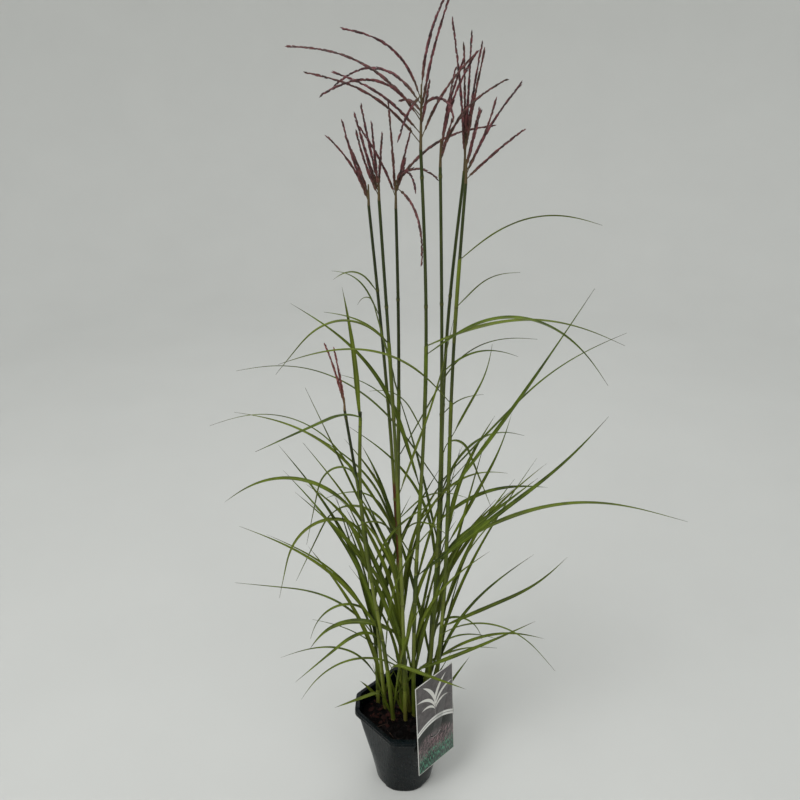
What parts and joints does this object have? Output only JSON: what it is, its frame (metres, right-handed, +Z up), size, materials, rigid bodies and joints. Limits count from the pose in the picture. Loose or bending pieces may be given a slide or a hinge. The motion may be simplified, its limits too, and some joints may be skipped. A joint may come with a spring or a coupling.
{
  "type": "potted ornamental grass",
  "caption": "Potted clump of upright silver grass with arching leaves and purplish plumes in a dark square nursery pot, with a hanging plant label. Stands on its base.",
  "frame": {"origin": "centre of the pot's base, on the plane it stands on", "axes": "+Z up through the pot and the clump, +X to the right and +Y to the back of the view in which the label faces front right"},
  "size_m": [0.6999, 0.2395, 1.1394],
  "materials": {
    "pot_plastic": "dark green-grey moulded plastic, satin, lightly dusty",
    "bark_and_peat": "coarse dark potting mix with reddish bark bits",
    "printed_plastic": "printed plastic tag with a pale border",
    "culm_green": "smooth green stems with sheaths, darker towards the top",
    "leaf_green": "matt green blades with a paler midrib",
    "plume_purple": "fine purple-brown flower spikes, greenish at the foot",
    "young_plume_pink": "narrow unopened reddish plume"
  },
  "bodies": {
    "root": {"culm_1": "culm_green", "culm_2": "culm_green", "culm_3": "culm_green", "culm_4": "culm_green", "culm_5": "culm_green", "culm_6": "culm_green", "culm_7": "culm_green", "culm_8": "culm_green", "leaf_left_01": "leaf_green", "leaf_left_02": "leaf_green", "leaf_left_03": "leaf_green", "leaf_left_04": "leaf_green", "leaf_left_05": "leaf_green", "leaf_left_06": "leaf_green", "leaf_left_07": "leaf_green", "leaf_left_08": "leaf_green", "leaf_left_09": "leaf_green", "leaf_left_10": "leaf_green", "leaf_left_11": "leaf_green", "leaf_left_12": "leaf_green", "leaf_left_13": "leaf_green", "leaf_left_14": "leaf_green", "leaf_left_15": "leaf_green", "leaf_left_16": "leaf_green", "leaf_left_17": "leaf_green", "leaf_left_18": "leaf_green", "leaf_low_left": "leaf_green", "leaf_low_right": "leaf_green", "leaf_right_01": "leaf_green", "leaf_right_02": "leaf_green", "leaf_right_03": "leaf_green", "leaf_right_04": "leaf_green", "leaf_right_05": "leaf_green", "leaf_right_06": "leaf_green", "leaf_right_07": "leaf_green", "leaf_right_08": "leaf_green", "leaf_right_09": "leaf_green", "leaf_right_10": "leaf_green", "leaf_right_11": "leaf_green", "leaf_right_12": "leaf_green", "leaf_right_13": "leaf_green", "leaf_right_14": "leaf_green", "leaf_right_15": "leaf_green", "leaf_right_16": "leaf_green", "leaf_right_17": "leaf_green", "leaf_right_18": "leaf_green", "leaf_top_right": "leaf_green", "panicle_1": "plume_purple", "panicle_2": "plume_purple", "panicle_3": "plume_purple", "panicle_4": "plume_purple", "panicle_5": "plume_purple", "panicle_6": "plume_purple", "panicle_7": "plume_purple", "panicle_8": "young_plume_pink", "plant_label": "printed_plastic", "pot": "pot_plastic", "potting_mix": "bark_and_peat", "tiller_1": "culm_green", "tiller_2": "culm_green"}
  },
  "joints": []
}
